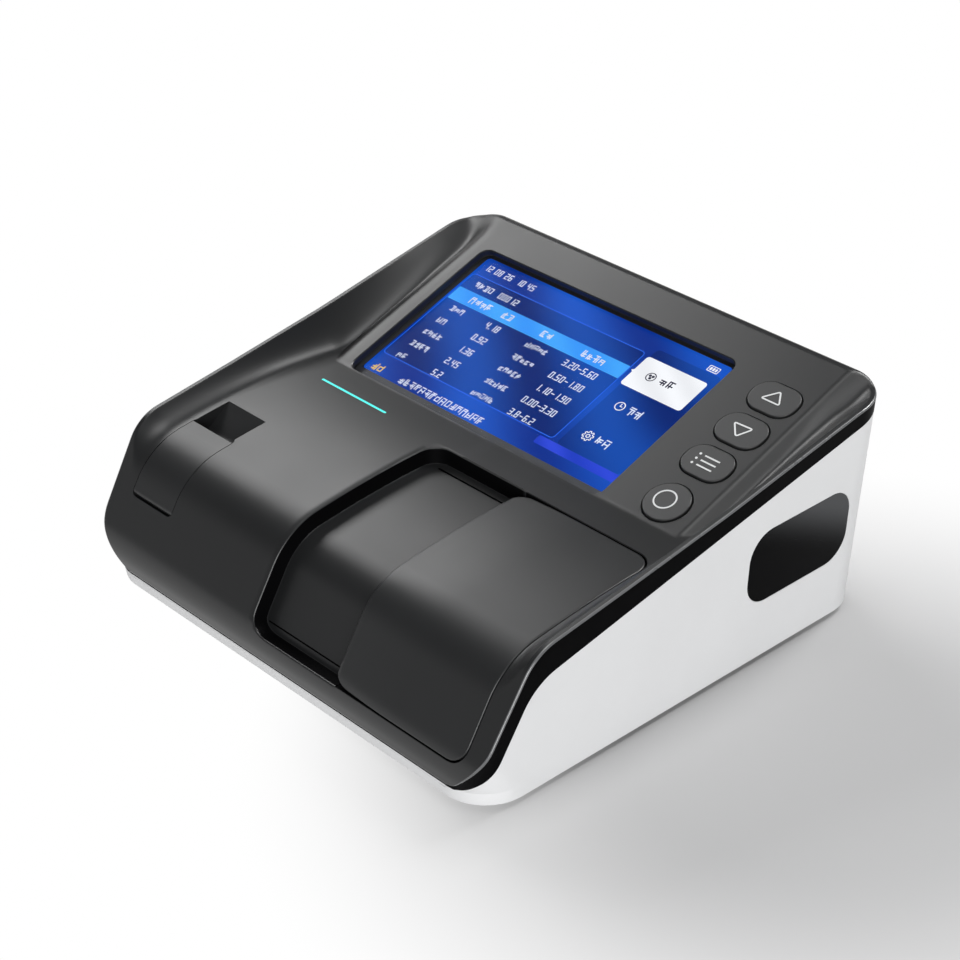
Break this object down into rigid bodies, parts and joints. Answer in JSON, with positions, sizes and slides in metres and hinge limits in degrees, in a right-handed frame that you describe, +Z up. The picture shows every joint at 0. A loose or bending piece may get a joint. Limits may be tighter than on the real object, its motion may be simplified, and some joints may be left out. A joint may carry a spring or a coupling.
{
  "type": "dry chemistry analyzer",
  "caption": "Low wedge-shaped bench analyzer with a sliding chamber lid, chip door, raised display console, key column and side window.",
  "frame": {"origin": "centre of the footprint of the whole instrument, on the surface that its feet stand on", "axes": "+X to the right of someone facing the display, +Y to the back, +Z up"},
  "size_m": [0.1824, 0.1691, 0.0779],
  "materials": {
    "white_shell": "fine satin moulded ABS, cool white",
    "dark_cover": "soft-touch charcoal paint, satin",
    "dark_lid": "soft-touch charcoal paint, satin",
    "key_rubber": "smooth charcoal silicone caps",
    "foot_rubber": "matt black rubber",
    "black_gloss": "glossy infrared-pass black",
    "display_glass": "clear hardened cover glass",
    "display_lit": "lit display panel",
    "light_guide": "cyan light guide",
    "inner_black": "matt black moulding",
    "grey_plastic": "mid-grey moulding",
    "steel": "plated steel",
    "white_gear": "natural acetal",
    "circuit_green": "solder-masked board",
    "battery_wrap": "shrink wrap",
    "foam": "thin closed-cell foam",
    "flex_amber": "amber film cable",
    "optic_glass": "clear optical window"
  },
  "bodies": {
    "case": {"base_shell": "white_shell", "rear_panel": "grey_plastic", "battery_cover": "white_shell", "top_cover": "dark_cover", "key_mat": "foot_rubber", "base_feet": "foot_rubber", "base_screws": "steel", "board_screws": "steel", "battery_pack": "battery_wrap", "lid_motor": "steel", "motor_bracket": "steel", "chamber_tub": "inner_black", "card_tray": "inner_black", "optics_block": "inner_black", "optics_window": "optic_glass", "chip_door_pin": "steel", "chip_bay": "inner_black", "chip_socket": "inner_black", "code_chip": "grey_plastic", "display_lens": "display_glass", "display_gasket": "foam", "display_panel": "display_lit", "display_flex": "flex_amber", "light_pipe": "light_guide", "key_switches": "inner_black", "keypad_board": "circuit_green", "main_board": "circuit_green", "scanner_window": "black_gloss", "scan_module": "inner_black", "speaker": "inner_black", "dc_jack": "inner_black", "usb_port": "steel", "switch_housing": "inner_black"},
    "sliding_lid": {"lid": "dark_lid", "lid_runners": "white_gear", "lid_rack": "white_gear"},
    "pinion": {"lid_pinion": "white_gear", "pinion_shaft": "steel"},
    "door": {"chip_door": "dark_lid"},
    "up_key": {"key_up": "key_rubber"},
    "down_key": {"key_down": "key_rubber"},
    "menu_key": {"key_menu": "key_rubber"},
    "round_key": {"key_round": "key_rubber"},
    "rocker": {"power_rocker": "inner_black"}
  },
  "joints": [
    {"name": "lid_slide", "type": "slide", "parent": "case", "child": "sliding_lid", "axis": [-1, 0, 0], "range_m": [0, 0.036]},
    {"name": "pinion_spin", "type": "hinge", "parent": "case", "child": "pinion", "pos_m": [0.018, -0.0025, 0.0404], "axis": [0, 0, 1], "range_deg": [-276, 0]},
    {"name": "chip_door_hinge", "type": "hinge", "parent": "case", "child": "door", "pos_m": [-0.0697, -0.07403, 0.03092], "axis": [1, 0, 0], "range_deg": [0, 57]},
    {"name": "power_rocker_tilt", "type": "hinge", "parent": "case", "child": "rocker", "pos_m": [0.03, 0.0786, 0.025], "axis": [-1, 0, 0], "range_deg": [0, 16]},
    {"name": "up_key_press", "type": "slide", "parent": "case", "child": "up_key", "axis": [0, 0.3427, -0.9395], "range_m": [0, 0.0008], "stiffness_N_per_m": 600, "springref_m": -0.0005},
    {"name": "down_key_press", "type": "slide", "parent": "case", "child": "down_key", "axis": [0, 0.3427, -0.9395], "range_m": [0, 0.0008], "stiffness_N_per_m": 600, "springref_m": -0.0005},
    {"name": "menu_key_press", "type": "slide", "parent": "case", "child": "menu_key", "axis": [0, 0.3427, -0.9395], "range_m": [0, 0.0008], "stiffness_N_per_m": 600, "springref_m": -0.0005},
    {"name": "round_key_press", "type": "slide", "parent": "case", "child": "round_key", "axis": [0, 0.3427, -0.9395], "range_m": [0, 0.0008], "stiffness_N_per_m": 600, "springref_m": -0.0005}
  ],
  "couplings": [
    {"joint": "pinion_spin", "follows": "lid_slide", "rad_per_m": -133.33}
  ]
}
